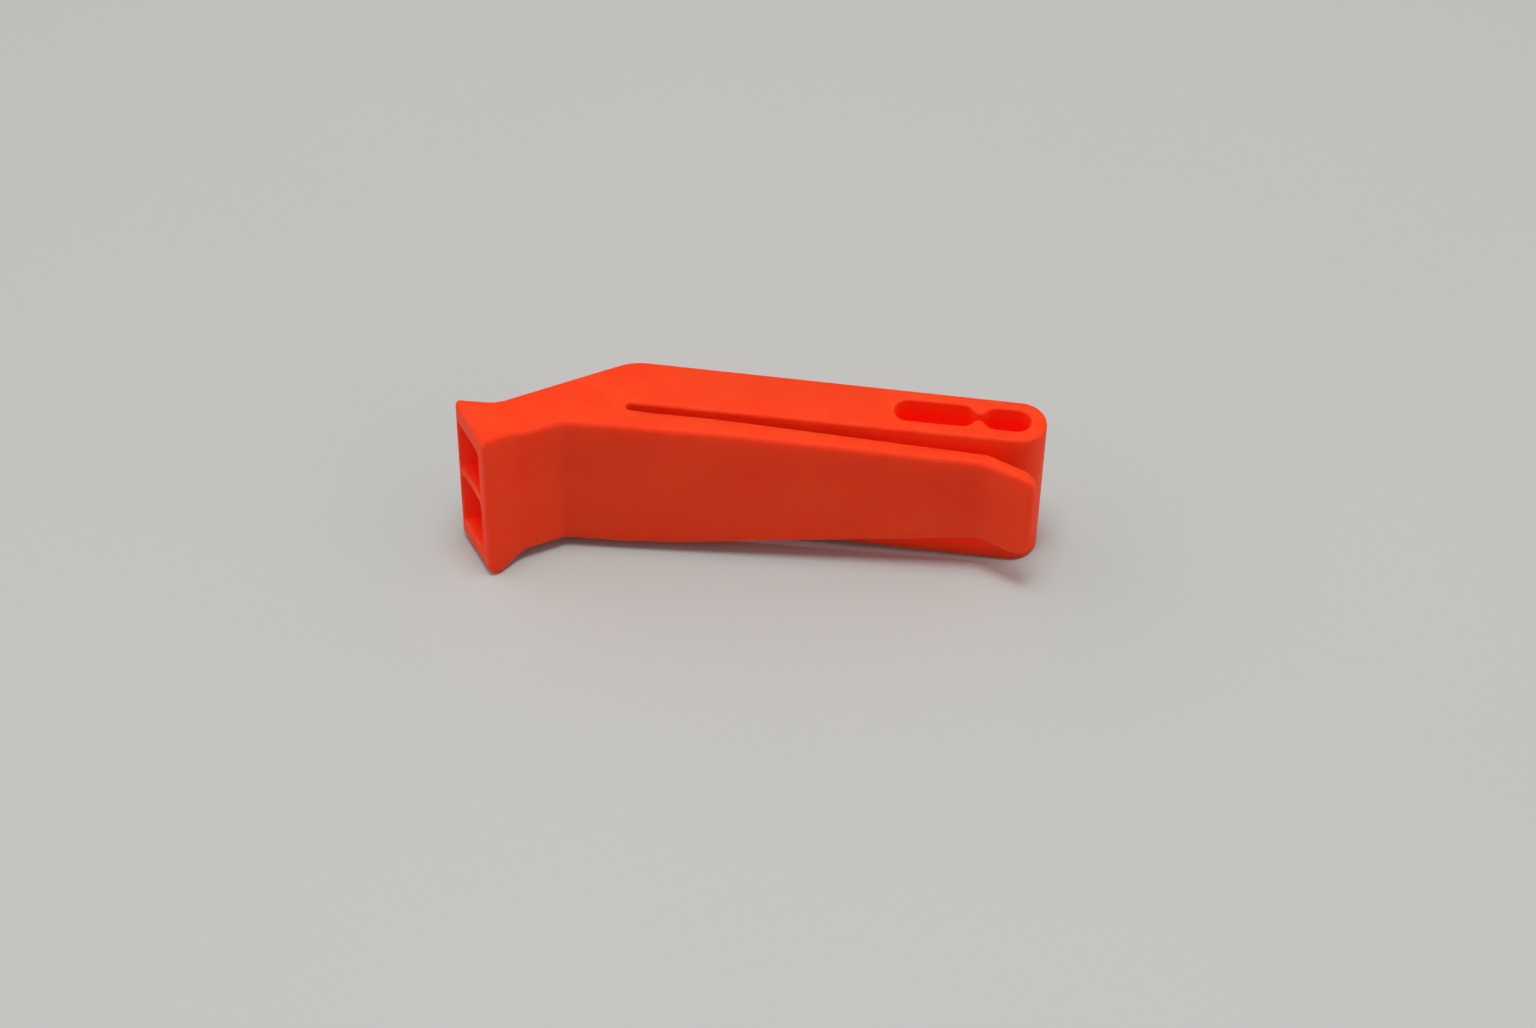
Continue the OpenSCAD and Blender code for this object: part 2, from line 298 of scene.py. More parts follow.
def frontOutline():
    frontEnd, backEnd = mouthEnd(-lip["front"]), mouthEnd(lipBack(-body["neckLength"]))
    frontLip = [plan["frontLipStart"] + plan["lipStep"] * i for i in range(plan["frontLipCount"])]
    backLip = [plan["backLipStart"] - plan["lipStep"] * i for i in range(plan["backLipCount"])]
    crease = Vector((clip["creaseX"], clipFront(clip["creaseX"])))
    tipWay = Vector((cos(clip["tipAngle"]), -sin(clip["tipAngle"])))
    tipOut = Vector((-tipWay.y, tipWay.x))
    tip = crease + tipWay * clip["tipLength"]
    half = (clip["tipAngle"] - clip["angle"]) / 2
    creaseBack = crease + clip["creaseThickness"] * Vector((sin(half), cos(half)))
    tipBack = tip + tipOut * clip["tipThickness"]
    tipRound = clip["tipThickness"] / 2 - clip["tipFlat"]
    rootBack = clipFront(clip["rootX"]) + clip["rootThickness"] / cos(clip["angle"])
    corners = [(*neckPoint(frontEnd, lipFront(frontEnd)), lip["frontRound"])]
    corners += [(*neckPoint(a, lipFront(a)), 0) for a in frontLip]
    corners += [(0, 0, body["kinkRound"]), (*crease, clip["creaseRound"]),
                (*tip, tipRound), (*tipBack, tipRound), (*creaseBack, clip["creaseRound"]),
                (clip["rootX"], rootBack, 0)]
    corners += arcPoints(*gapCentre, gap["radius"], 270, seamAngle)
    corners += [(*seamEnd, 0)]
    corners += [(*neckPoint(a, lipBack(a)), 0) for a in (*plan["neckBackAt"], *backLip)]
    corners += [(*neckPoint(backEnd, lipBack(backEnd)), lip["backRound"])]
    return fillIn(roundCorners(corners), mouthpieceStep)


def rearOutline():
    tailRadius = body["barThickness"] / 2
    tailX = body["tailReach"] - tailRadius
    tailY = body["barFront"] + tailRadius
    peak = body["peakX"] - body["peakShift"]
    corners = arcPoints(*gapCentre, gap["radius"], seamAngle, 90)
    corners += arcPoints(tailX, tailY, tailRadius, -90, 90, plan["tailArcStep"])
    corners += [(peak, backY(peak), body["peakRound"]), (*seamEnd, 0)]
    return fillIn(roundCorners(corners), evenStep)


def slotOutline():
    r, y = slots["radius"], slots["y"]
    (x0, x1), (x2, x3) = slots["longEnds"], slots["shortEnds"]
    middle = (x1 + x2) / 2
    cusp, cuspStep = slots["cuspRound"], plan["cuspArcStep"]
    rise = sqrt((r + cusp) ** 2 - ((x2 - x1) / 2) ** 2)
    lean = degrees(atan2(rise, (x2 - x1) / 2))
    points = arcPoints(x0, y, r, 270, 90) + arcPoints(x1, y, r, 90, lean)
    points += arcPoints(middle, y + rise, cusp, 180 + lean, 360 - lean, cuspStep)
    points += arcPoints(x2, y, r, 180 - lean, 90) + arcPoints(x3, y, r, 90, -90)
    points += arcPoints(x2, y, r, 270, 180 + lean)
    points += arcPoints(middle, y - rise, cusp, lean, 180 - lean, cuspStep)
    points += arcPoints(x1, y, r, -lean, -90)
    return fillIn([Vector(p[:2]) for p in points], evenStep)


# Heights of the narrow sides over the middle of the width

def neckHalf(x, y):
    a, b = alongNeck(x, y), acrossNeck(x, y)
    curve = lip["side"] * smooth(-lip["sideStart"], -lip["sideEnd"], -a)
    ramp = lip["rampSlope"] * easedRamp(lip["rampStart"] - a, lip["ease"])
    behind = smooth(0, body["neckThickness"], b)
    flare = curve + (ramp - curve) * behind
    r = lip["endRound"] + (lip["backEndRound"] - lip["endRound"]) * behind
    past = min(max(mouthEnd(b) + r - a, 0), lip["roundShare"] * r)
    return body["halfWidth"] + flare - (r - sqrt(r * r - past * past))


def clipEdge(x, taperX, taper, r):
    # Half-width of the clip on one side, with the tip's flare and rounded corner
    reach = clip["creaseX"] - taperX
    edge = body["halfWidth"] - clip["inset"] * smooth(gap["x"], gap["x"] + clip["insetReach"], x)
    edge -= taper / reach * easedRamp(x - taperX, clip["taperEase"])
    edge += (clip["tipFlare"] + taper / reach) * easedRamp(x - clip["creaseX"], clip["flareEase"])
    tipX = clip["creaseX"] + clip["tipLength"] * cos(clip["tipAngle"]) + clip["tipOver"]
    past = min(max(x - (tipX - r), 0), r)
    return edge - (r - sqrt(r * r - past * past))


def frontTop(x, y):
    if x < gap["x"]:
        return neckHalf(x, y)
    return clipEdge(x, clip["upperTaperX"], clip["upperTaper"], clip["upperCorner"])


def frontBottom(x, y):
    if x < gap["x"]:
        return -neckHalf(x, y)
    return -clipEdge(x, clip["lowerTaperX"], clip["lowerTaper"], clip["lowerCorner"])


def towardsTail(x):
    return min(max((x - gap["x"]) / (body["tailReach"] - gap["x"]), 0), 1)


def rearTop(x, y):
    return neckHalf(x, y) + body["tailRise"] * towardsTail(x)


def rearBottom(x, y):
    return -neckHalf(x, y) - body["tailDrop"] * towardsTail(x)


# How round an edge is, and how much painted bounce light a wall gets, at a place of the plan

def edgeSize(x, y):
    # How far the rounding reaches across the narrow side, and down the wide face
    if x < gap["x"] - 2 * gap["radius"]:
        back = smooth(*body["neckChange"], acrossNeck(x, y))
    else:
        back = smooth(*body["clipChange"], y - clipFront(x))
    alongGap = x > gap["x"] - gap["radius"] and y < backY(x) - body["backStrip"]
    inner = body["gapEdge"] if alongGap else body["backEdge"]
    return [front + (inner - front) * back for front in (body["frontEdge"], body["frontDrop"])]


def slotEdge(x, y):
    return slots["edge"], slots["edge"]


def paintedGapLight(x, y):
    # Share of painted bounce light and glow on the faces that look into the gap
    inside = smooth(gap["x"] - gap["radius"], gap["x"], x)
    inside *= smooth(clip["creaseX"] + gap["fadeOut"], clip["creaseX"], x)
    behindClip = smooth(*gap["behindClip"], y - clipFront(x))
    beforeBar = smooth(*gap["beforeBar"], y - body["barFront"])
    return gap["innerShare"] * inside * behindClip * beforeBar


def paintedSlotLight(x, y):
    # Share of painted bounce light and glow on the slots' walls
    return slots["wallShare"]


# Meshes

def inwardWays(loop):
    # How each point moves as the outline draws in by 1 mm. Points on the seam stay on it.
    ways = []
    for i, here in enumerate(loop):
        before, after = loop[i - 1], loop[(i + 1) % len(loop)]
        d1, d2 = (here - before).normalized(), (after - here).normalized()
        n1, n2 = Vector((-d1.y, d1.x)), Vector((-d2.y, d2.x))
        seam1, seam2 = onSeam(here) and onSeam(before), onSeam(here) and onSeam(after)
        if seam1 and seam2:
            ways.append(Vector((0, 0)))
        elif seam1:
            ways.append(d1 / d1.dot(n2))
        elif seam2:
            ways.append(d2 / d2.dot(n1))
        else:
            ways.append((n1 + n2) / (1 + n1.dot(n2)))
    return ways


def insideLoop(points, loop):
    # True for each point that lies inside the closed loop
    px, py = points[:, 0][:, None], points[:, 1][:, None]
    a = np.array(loop)
    b = np.roll(a, -1, axis=0)
    crosses = (a[:, 1] > py) != (b[:, 1] > py)
    rise = np.where(b[:, 1] == a[:, 1], 1, b[:, 1] - a[:, 1])
    at = a[:, 0] + (py - a[:, 1]) * (b[:, 0] - a[:, 0]) / rise
    return (crosses & (px < at)).sum(axis=1) % 2 == 1


def insidePlan(points, loops):
    # The first loop is the outline, the others are holes in it
    keep = insideLoop(points, loops[0])
    for hole in loops[1:]:
        keep &= ~insideLoop(points, hole)
    return keep


def capTriangles(loops, spacing, clearShare=0.6, tolerance=1e-7):
    # Triangles over a plan with holes. A grid of inner points keeps a curved cap smooth.
    rims = [tuple(p) for loop in loops for p in loop]
    edges = []
    start = 0
    for loop in loops:
        edges += [(start + i, start + (i + 1) % len(loop)) for i in range(len(loop))]
        start += len(loop)
    rimPoints = np.array(rims)
    low, high = rimPoints.min(axis=0), rimPoints.max(axis=0)
    xs, ys = np.arange(low[0], high[0], spacing), np.arange(low[1], high[1], spacing)
    grid = np.array([(x + (spacing / 2 if j % 2 else 0), y) for j, y in enumerate(ys) for x in xs])
    grid = grid[insidePlan(grid, loops)]
    near = np.array([np.min(np.hypot(*(rimPoints - g).T)) for g in grid])
    grid = grid[near > spacing * clearShare]
    points = [Vector(p) for p in rims] + [Vector(g) for g in grid]
    made = delaunay_2d_cdt(points, edges, [], 0, tolerance)
    verts, faces, origins = made[0], made[2], made[3]
    flat = np.array([tuple(v) for v in verts])
    middles = np.array([flat[list(f)].mean(axis=0) for f in faces])
    faces = [f for f, kept in zip(faces, insidePlan(middles, loops)) if kept]
    return verts, faces, [o[0] if o and o[0] < len(rims) else None for o in origins]


def meshObject(name, bm):
    bmesh.ops.recalc_face_normals(bm, faces=bm.faces)
    mesh = bpy.data.meshes.new(name)
    bm.to_mesh(mesh)
    bm.free()
    made = bpy.data.objects.new(name, mesh)
    bpy.context.scene.collection.objects.link(made)
    return made


def wallColumn(bm, p, way, edge, heights, paintedShare, rounds=7, rows=10):
    # The points up a wall at one place of the plan: a rounded edge, the wall, a rounded edge
    rim, inner = bm.verts.layers.float["rim"], bm.verts.layers.float["inner"]
    across, down = edge
    arcs = []
    for side, height in zip((-1, 1), heights):
        arc = []
        for k in range(rounds + 1):
            t = k / rounds * pi / 2
            q = p + way * across * (1 - cos(t))
            v = bm.verts.new((q.x, q.y, height(q.x, q.y) - side * down * (1 - sin(t))))
            v[rim] = sin(2 * t)
            arc.append(v)
        arcs.append(arc)
    low, high = arcs[0][0].co, arcs[1][0].co
    wall = [bm.verts.new(low.lerp(high, k / rows)) for k in range(1, rows)]
    # each wall point keeps its share of painted bounce light and glow in the inner layer
    for v in wall:
        v[inner] = paintedShare
    return arcs[0][::-1] + wall + arcs[1]


def addCap(bm, triangles, ring, height, turn):
    # ring holds the points of all loops at that end, and turn is 1 above and -1 below
    verts, faces, origins = triangles
    corners = []
    for v, origin in zip(verts, origins):
        corners.append(ring[origin] if origin is not None
                       else bm.verts.new((v[0], v[1], height(v[0], v[1]))))
    for f in faces:
        a, b, c = (corners[i] for i in f)
        up = (b.co.xy - a.co.xy).cross(c.co.xy - a.co.xy) * turn > 0
        bm.faces.new((a, b, c) if up else (a, c, b))
    for v in corners:
        if not v.link_faces:
            bm.verts.remove(v)


def mouldedPrism(name, loops, top, bottom, edgeOf, paintedLightOf, spacing=0.7):
    # A plan with holes, drawn up between two curved caps, with rounded edges, and walls given their share of
    # painted bounce light
    bm = bmesh.new()
    bm.verts.layers.float.new("rim")
    bm.verts.layers.float.new("inner")
    rings = []
    for loop, edgeAt, paintedLightAt in zip(loops, edgeOf, paintedLightOf):
        columns = [wallColumn(bm, p, way, edgeAt(p.x, p.y), (bottom, top), paintedLightAt(p.x, p.y))
                   for p, way in zip(loop, inwardWays(loop))]
        for i, column in enumerate(columns):
            after = columns[(i + 1) % len(columns)]
            for k in range(len(column) - 1):
                bm.faces.new((column[k], after[k], after[k + 1], column[k + 1]))
        rings.append(columns)
    ends = [[column[-1] for column in columns] for columns in rings]
    feet = [[column[0] for column in columns] for columns in rings]
    triangles = capTriangles([[v.co.xy for v in ring] for ring in ends], spacing)
    addCap(bm, triangles, sum(ends, []), top, 1)
    addCap(bm, triangles, sum(feet, []), bottom, -1)
    return meshObject(name, bm)


def loft(name, rings):
    bm = bmesh.new()
    rows = [[bm.verts.new(p) for p in ring] for ring in rings]
    for low, high in zip(rows, rows[1:]):
        for i in range(len(low)):
            j = (i + 1) % len(low)
            bm.faces.new((low[i], low[j], high[j], high[i]))
    bm.faces.new(rows[0][::-1])
    bm.faces.new(rows[-1])
    return meshObject(name, bm)


def roundedRectangle(u0, u1, v0, v1, radius, steps=5):
    points = []
    for u, v, start in ((u1, v1, 0), (u0, v1, 90), (u0, v0, 180), (u1, v0, 270)):
        cu = u - radius if u == u1 else u + radius
        cv = v - radius if v == v1 else v + radius
        for k in range(steps + 1):
            t = radians(start + 90 * k / steps)
            points.append((cu + radius * cos(t), cv + radius * sin(t)))
    return points


def cutAway(target, cutters):
    for cutter in cutters:
        cut = target.modifiers.new("cut", "BOOLEAN")
        cut.operation, cut.solver, cut.object = "DIFFERENCE", "EXACT", cutter
    graph = bpy.context.evaluated_depsgraph_get()
    graph.update()
    mesh = bpy.data.meshes.new_from_object(target.evaluated_get(graph))
    target.modifiers.clear()
    target.data = mesh


# Ducts from the mouth to the sound windows, as shapes to cut away

duct = {
    "inner": 0.7,               # half the divider between them
    "width": 7.8,
    "frontWall": 1.9,
    "mouthHeight": 6.1,
    "slitHeight": 1.1,
    "slitFloor": 2.25,          # from the front of the neck to the slit
    "turn": 8.0,                # from the mouth to where the roof runs along the neck
    "turnEase": 1.0,
    "end": 12.9,
    "corner": 0.7,
    "slitCorner": 0.25,
    "slitCornerAt": -2.0,
    "rim": 0.32,
    "rimSteps": 6,
    "dish": 0.3,                # how far the divider's edge is set back
    "dishOver": 0.4,            # how far that hollow reaches past the mouth's ends
    "dishWidth": 1.4,           # and into the mouth, from the divider
    "dishEnd": -9.0,
    "dishSteps": 14,
    "leanFade": (4, 10),        # distances along the neck over which they come to lean
    "ringsAt": (-10, -8.5, -7, -5.5, -4.5, -3.5, -2.5, -1, 2, 6),
    "redShare": 0.6,            # share of painted bounce light and glow on the walls inside
    "redFrom": (0.2, 0.7),      # distances behind the mouth face over which that sets in
    "redDepth": (0.15, 0.4),    # and under the outer faces
    "redEnd": 3.0,
}
overrun = 2.0                   # how far a cut starts outside the face that it opens
apart = 0.02                    # keeps the faces of neighbouring cuts out of one plane
hair = 0.001                    # keeps the hollow's ends just outside the mouth face


def paintedDuctLight(p):
    # How much painted bounce light and glow a duct's wall gets at a point
    a, b = alongNeck(p.x, p.y), acrossNeck(p.x, p.y)
    if a > duct["redEnd"]:
        return 0.0
    depth = min(b - lipFront(a), lipBack(a) - b, neckHalf(p.x, p.y) - abs(p.z))
    behindRim = smooth(*duct["redFrom"], a - mouthEnd(b))
    return duct["redShare"] * smooth(*duct["redDepth"], depth) * behindRim


def leanAt(a, b):
    # The mouth face leans, and the ducts lean with it near their mouths
    return (mouthEnd(b) + body["neckLength"]) * smooth(*duct["leanFade"], -a)


def ductRing(side, a, swell, corner, dished=True):
    end = -body["neckLength"]
    low0 = duct["frontWall"] - lip["front"]
    low1 = duct["slitFloor"]
    far = max(a, end)
    floorB = low0 + (low1 - low0) * (far - end) / (duct["end"] - end)
    roof0, roof1 = low0 + duct["mouthHeight"], low1 + duct["slitHeight"]
    drop = (roof0 - roof1) / duct["turn"]
    roofB = roof1 + drop * easedRamp(end + duct["turn"] - far, duct["turnEase"])
    z0, z1 = duct["inner"], duct["inner"] + duct["width"]
    outline = roundedRectangle(floorB - swell, roofB + swell, z0 - swell, z1 + swell, corner + swell)
    ring = []
    for b, z in outline:
        middle = (b - (floorB + roofB) / 2) / ((roofB - floorB) / 2 + duct["dishOver"])
        nearDivider = 1 - smooth(0, duct["dishWidth"], z - z0 + swell)
        back = duct["dish"] * max(0, 1 - middle * middle) * nearDivider if dished else 0
        p = neckPoint(a + back + leanAt(a, b), b)
        ring.append((p.x, p.y, side * z))
    return ring if side > 0 else ring[::-1]


def ductCutter(side):
    end = -body["neckLength"]
    rim = duct["rim"]
    rings = [ductRing(side, end - overrun, rim, duct["corner"], False)]
    for k in range(duct["rimSteps"] + 1):
        t = k / duct["rimSteps"] * pi / 2
        rings.append(ductRing(side, end + rim * (1 - cos(t)), rim * (1 - sin(t)), duct["corner"]))
    for a in (*duct["ringsAt"], duct["end"]):
        narrowing = smooth(end, duct["slitCornerAt"], a)
        corner = duct["corner"] + (duct["slitCorner"] - duct["corner"]) * narrowing
        rings.append(ductRing(side, a, 0, corner, a < duct["dishEnd"]))
    return loft("duct" + ("Upper" if side > 0 else "Lower"), rings)


def dividerDish():
    # A shallow hollow that sets the middle of the divider's edge back from the mouth face
    outside = -body["neckLength"] - overrun / 2
    low = duct["frontWall"] - lip["front"]
    high = low + duct["mouthHeight"]
    profile = [neckPoint(outside, low - duct["dishOver"]), neckPoint(outside, high + duct["dishOver"])]
    for k in range(duct["dishSteps"] + 1):
        s = 1 - 2 * k / duct["dishSteps"]
        b = low + duct["mouthHeight"] / 2 + s * (duct["mouthHeight"] / 2 + duct["dishOver"])
        profile.append(neckPoint(mouthEnd(b) + duct["dish"] * (1 - s * s) - hair, b))
    half = duct["inner"] + apart
    return loft("dividerDish", [[(p.x, p.y, z) for p in profile] for z in (-half, half)])


# Sound windows, chambers and the seat of the back cover

window = {
    "start": 8.4,
    "length": 4.2,
    "outer": 8.8,
    "frontWall": 1.3,
    "corner": 0.35,
    "rim": 0.28,
}
chamber = {
    "inset": 0.5,               # how far behind the start of the window it starts
    "long": 29.0,               # its end, from the start of the window
    "short": 24.4,
    "corner": 0.4,
    "over": 0.4,                # how far it reaches up into the cover's seat
}
cover = {
    "thickness": 1.3,
    "ledge": 0.6,
    "sideLedge": 0.9,
    "corner": 0.06,
    "rim": 0.12,
    "bevel": 0.11,
    "bevelSteps": 3,
}


def backRing(x0, x1, z0, z1, corner, swell, depth):
    # A rounded rectangle laid on the bar's back, at a depth under that face
    ring = []
    for x, z in roundedRectangle(x0 - swell, x1 + swell, z0 - swell, z1 + swell, corner + swell):
        ring.append((x, backY(x) - depth, z))
    return ring


def backPocket(name, x0, x1, z0, z1, depth, corner, rim, steps=5):
    rings = [backRing(x0, x1, z0, z1, corner, rim, -overrun)]
    for k in range(steps + 1):
        t = k / steps * pi / 2
        rings.append(backRing(x0, x1, z0, z1, corner, rim * (1 - sin(t)), rim * (1 - cos(t))))
    rings.append(backRing(x0, x1, z0, z1, corner, 0, depth))
    return loft(name, rings)


def windowCutter(side):
    z0, z1 = sorted((side * duct["inner"], side * window["outer"]))
    floorY = body["barFront"] + window["frontWall"]
    depth = backY(window["start"]) - floorY
    return backPocket("window", window["start"], window["start"] + window["length"], z0, z1, depth,
                      window["corner"], window["rim"])


def chamberCutter(side):
    x0 = window["start"] + chamber["inset"]
    x1 = window["start"] + (chamber["long"] if side > 0 else chamber["short"])
    z0, z1 = sorted((side * (duct["inner"] + apart), side * (window["outer"] - apart)))
    outline = roundedRectangle(x0, x1, z0, z1, chamber["corner"])
    floorY = body["barFront"] + window["frontWall"] + apart
    lower = [(x, floorY, z) for x, z in outline]
    upper = [(x, backY(x) - cover["thickness"] + chamber["over"], z) for x, z in outline]
    return loft("chamber", [lower, upper])


def seatCutter():
    x0 = window["start"] + window["length"]
    x1 = window["start"] + chamber["long"] + cover["ledge"]
    out = duct["inner"] + duct["width"] + cover["sideLedge"]
    return backPocket("coverSeat", x0, x1, -out, out, cover["thickness"], cover["corner"], cover["rim"])


# Materials

plastic = {                         # the colours that go into the colour group, with its painted bounce light and painted glow
    "Colour": (0.85, 0.052, 0.009, 1),
    "Paler": (0.87, 0.061, 0.011, 1),
    "Deeper": (0.83, 0.045, 0.0075, 1),
    "Rim Colour": (0.97, 0.10, 0.032, 1),
    # painted bounce light: a redder colour on the walls of slots, ducts and the gap, where light bounces
    "Painted Bounce Colour": (1.0, 0.020, 0.003, 1),
    "Painted Glow": (0.13, 0.001, 0, 1),    # painted glow: red emission on the walls of slots, ducts and the gap, standing in for light that shines in the plastic
}
shine = {                           # and the values on the shader itself
    "specular": 0.11,
    "ior": 1.49,
    "spread": (2.2, 0.35, 0.2),     # how far red, green and blue light spread inside it, in mm
    # strength of the painted glow
    "paintedGlowStrength": 1.0,
}
grain = {
    "fineScale": 4200.0,
    "broadScale": 260.0,
    "broadShare": 0.35,             # of the broad noise in the height
    "roughnessSwing": 0.05,
    "depth": 0.4,                   # of the bump, in mm
}
finishes = {
    "bodyPlastic": {"scale": 1.0, "rimShare": 0.12, "grain": 0.35, "roughness": 0.5},
    "coverPlastic": {"scale": 1.15, "rimShare": 0.2, "grain": 0.3, "roughness": 0.47},
}


def nodeGroup(name, inputs, outputs):
    group = bpy.data.node_groups.new(name, "ShaderNodeTree")
    for label, kind, value in inputs:
        made = group.interface.new_socket(name=label, in_out="INPUT", socket_type=kind)
        made.default_value = value
    for label, kind in outputs:
        group.interface.new_socket(name=label, in_out="OUTPUT", socket_type=kind)
    return group, group.nodes.new("NodeGroupInput"), group.nodes.new("NodeGroupOutput")


def addNode(tree, kind, sockets=None, **settings):
    # sockets holds input values by name or number
    made = tree.nodes.new(kind)
    for key, value in settings.items():
        setattr(made, key, value)
    for key, value in (sockets or {}).items():
        made.inputs[key].default_value = value
    return made


def connect(tree, *links):
    # each link is a node, its output, the next node and its input
    for source, output, target, socket in links:
        tree.links.new(source.outputs[output], target.inputs[socket])


def mouldedGrain():
    # Fine satin texture of the tool, as a height and a small change of roughness
    group, ins, outs = nodeGroup(
        "mouldedGrain",
        [("Scale", "NodeSocketFloat", 1.0), ("Roughness", "NodeSocketFloat", 0.4)],
        [("Height", "NodeSocketFloat"), ("Roughness", "NodeSocketFloat")])
    swing = grain["roughnessSwing"]
    place = addNode(group, "ShaderNodeTexCoord")
    scaled = addNode(group, "ShaderNodeVectorMath", operation="SCALE")
    fine = addNode(group, "ShaderNodeTexNoise",
                   {"Scale": grain["fineScale"], "Detail": 3.0, "Roughness": 0.6})
    broad = addNode(group, "ShaderNodeTexNoise",
                    {"Scale": grain["broadScale"], "Detail": 2.0, "Roughness": 0.5})
    mix = addNode(group, "ShaderNodeMath", {1: grain["broadShare"]}, operation="MULTIPLY_ADD")
    spread = addNode(group, "ShaderNodeMapRange", {"To Min": -swing, "To Max": swing})
    total = addNode(group, "ShaderNodeMath", operation="ADD")
    connect(group,
            (place, "Object", scaled, 0), (ins, "Scale", scaled, "Scale"),
            (scaled, 0, fine, "Vector"), (scaled, 0, broad, "Vector"),
            (broad, "Fac", mix, 0), (fine, "Fac", mix, 2), (mix, 0, outs, "Height"),
            (broad, "Fac", spread, "Value"), (spread, "Result", total, 0),
            (ins, "Roughness", total, 1), (total, 0, outs, "Roughness"))
    return group


def pigmentAndPaintedLight():
    # Colour that drifts a little and is paler on thin rounded rims. On inner walls it turns redder and
    # glows: painted bounce light and a painted glow
    black, white = (0, 0, 0, 1), (1, 1, 1, 1)
    group, ins, outs = nodeGroup(
        "pigmentAndPaintedLight",
        [("Colour", "NodeSocketColor", white), ("Paler", "NodeSocketColor", white),
         ("Deeper", "NodeSocketColor", white), ("Rim Colour", "NodeSocketColor", white),
         ("Painted Bounce Colour", "NodeSocketColor", white), ("Painted Glow", "NodeSocketColor", black),
         ("Rim", "NodeSocketFloat", 0.3)],
        [("Colour", "NodeSocketColor"), ("Painted Glow", "NodeSocketColor")])
    place = addNode(group, "ShaderNodeTexCoord")
    drift = addNode(group, "ShaderNodeTexNoise", {"Scale": 95.0, "Detail": 3.0, "Roughness": 0.55})
    speck = addNode(group, "ShaderNodeTexNoise", {"Scale": 1500.0, "Detail": 2.0, "Roughness": 0.6})
    ramp = addNode(group, "ShaderNodeMapRange", {"From Min": 0.3, "From Max": 0.7})
    shade = addNode(group, "ShaderNodeMix", data_type="RGBA")
    grains = addNode(group, "ShaderNodeMix", data_type="RGBA")
    rim = addNode(group, "ShaderNodeAttribute", attribute_name="rim")
    amount = addNode(group, "ShaderNodeMath", operation="MULTIPLY")
    edge = addNode(group, "ShaderNodeMix", data_type="RGBA")
    # the mask of painted bounce light and painted glow on inner walls
    inside = addNode(group, "ShaderNodeAttribute", attribute_name="inner")
    bounceMix = addNode(group, "ShaderNodeMix", data_type="RGBA")
    glowMix = addNode(group, "ShaderNodeMix", {"A": black}, data_type="RGBA")
    sparse = addNode(group, "ShaderNodeMapRange", {"From Min": 0.35, "From Max": 0.9, "To Max": 0.6})
    connect(group,
            (place, "Object", drift, "Vector"), (place, "Object", speck, "Vector"),
            (drift, "Fac", ramp, "Value"), (ramp, "Result", shade, "Factor"),
            (ins, "Deeper", shade, "A"), (ins, "Paler", shade, "B"),
            (speck, "Fac", sparse, "Value"), (sparse, "Result", grains, "Factor"),
            (shade, "Result", grains, "A"), (ins, "Colour", grains, "B"),
            (rim, "Fac", amount, 0), (ins, "Rim", amount, 1), (amount, 0, edge, "Factor"),
            (grains, "Result", edge, "A"), (ins, "Rim Colour", edge, "B"),
            (inside, "Fac", bounceMix, "Factor"), (edge, "Result", bounceMix, "A"),
            (ins, "Painted Bounce Colour", bounceMix, "B"), (bounceMix, "Result", outs, "Colour"),
            (inside, "Fac", glowMix, "Factor"), (ins, "Painted Glow", glowMix, "B"),
            (glowMix, "Result", outs, "Painted Glow"))
    return group


grainGroup, pigmentAndLightGroup = mouldedGrain(), pigmentAndPaintedLight()


def plasticMaterial(name):
    finish = finishes[name]
    material = bpy.data.materials.new(name)
    material.use_nodes = True
    tree = material.node_tree
    shader = tree.nodes["Principled BSDF"]
    colour = addNode(tree, "ShaderNodeGroup", node_tree=pigmentAndLightGroup)
    for label, value in plastic.items():
        colour.inputs[label].default_value = value
    colour.inputs["Rim"].default_value = finish["rimShare"]
    texture = addNode(tree, "ShaderNodeGroup", node_tree=grainGroup)
    texture.inputs["Scale"].default_value = finish["scale"]
    texture.inputs["Roughness"].default_value = finish["roughness"]
    bump = addNode(tree, "ShaderNodeBump", {"Strength": finish["grain"], "Distance": grain["depth"] * mm})
    spread = addNode(tree, "ShaderNodeAttribute", attribute_name="spread")
    connect(tree,
            (texture, "Height", bump, "Height"), (bump, "Normal", shader, "Normal"),
            (texture, "Roughness", shader, "Roughness"), (colour, "Colour", shader, "Base Color"),
            (colour, "Painted Glow", shader, "Emission Color"), (spread, "Fac", shader, "Subsurface Weight"))
    # the painted glow goes out as emission
    shader.inputs["Emission Strength"].default_value = shine["paintedGlowStrength"]
    shader.inputs["IOR"].default_value = shine["ior"]
    shader.inputs["Specular IOR Level"].default_value = shine["specular"]
    shader.inputs["Subsurface Radius"].default_value = shine["spread"]
    shader.inputs["Subsurface Scale"].default_value = mm
    return material


bodyPlastic = plasticMaterial("bodyPlastic")
coverPlastic = plasticMaterial("coverPlastic")
print("materials made")


